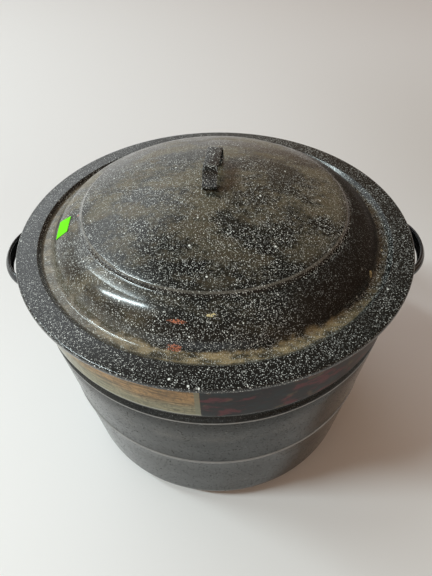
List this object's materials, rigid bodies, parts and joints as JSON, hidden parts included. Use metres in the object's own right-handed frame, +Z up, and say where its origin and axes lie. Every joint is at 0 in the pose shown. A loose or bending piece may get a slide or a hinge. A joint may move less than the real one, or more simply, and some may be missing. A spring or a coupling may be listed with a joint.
{
  "type": "water-bath canner",
  "caption": "Speckled black enamel kettle with side handles, a loose domed lid and a lift-out wire jar rack with folding handles.",
  "frame": {"origin": "on the floor, under the middle of the kettle", "axes": "+Z up along the kettle's axis, +X through the right side handle, +Y to the back"},
  "size_m": [0.4088, 0.36, 0.3278],
  "materials": {
    "speckled_enamel": "glossy",
    "black_enamel": "glossy",
    "printed_paper": "satin",
    "green_paper": "matte",
    "plated_wire": "satin"
  },
  "bodies": {
    "kettle": {"kettle_body": "speckled_enamel", "side_handle_left": "black_enamel", "side_handle_right": "black_enamel", "paper_label": "printed_paper"},
    "rack": {"rack_base_ring": "plated_wire", "rack_floor_ring_1": "plated_wire", "rack_floor_ring_2": "plated_wire", "rack_hub_ring": "plated_wire", "rack_top_ring": "plated_wire", "rack_floor_bar_1": "plated_wire", "rack_floor_bar_2": "plated_wire", "rack_divider_1": "plated_wire", "rack_divider_2": "plated_wire", "rack_divider_3": "plated_wire", "rack_divider_4": "plated_wire", "rack_divider_5": "plated_wire", "rack_divider_6": "plated_wire"},
    "bail_left": {"rack_bail_left": "plated_wire"},
    "bail_right": {"rack_bail_right": "plated_wire"},
    "lid": {"lid_shell": "speckled_enamel", "lid_handle": "speckled_enamel", "price_sticker": "green_paper"}
  },
  "joints": [
    {"name": "rack_lift", "type": "slide", "parent": "kettle", "child": "rack", "axis": [0, 0, 1], "range_m": [0, 0.27]},
    {"name": "lid_lift", "type": "slide", "parent": "rack", "child": "lid", "axis": [0, 0, 1], "range_m": [0, 0.25]},
    {"name": "bail_right_fold", "type": "hinge", "parent": "rack", "child": "bail_right", "pos_m": [0.14697, 0, 0.10013], "axis": [0, -1, 0], "range_deg": [0, 90]},
    {"name": "bail_left_fold", "type": "hinge", "parent": "rack", "child": "bail_left", "pos_m": [-0.14697, 0, 0.10013], "axis": [0, 1, 0], "range_deg": [0, 90]}
  ]
}
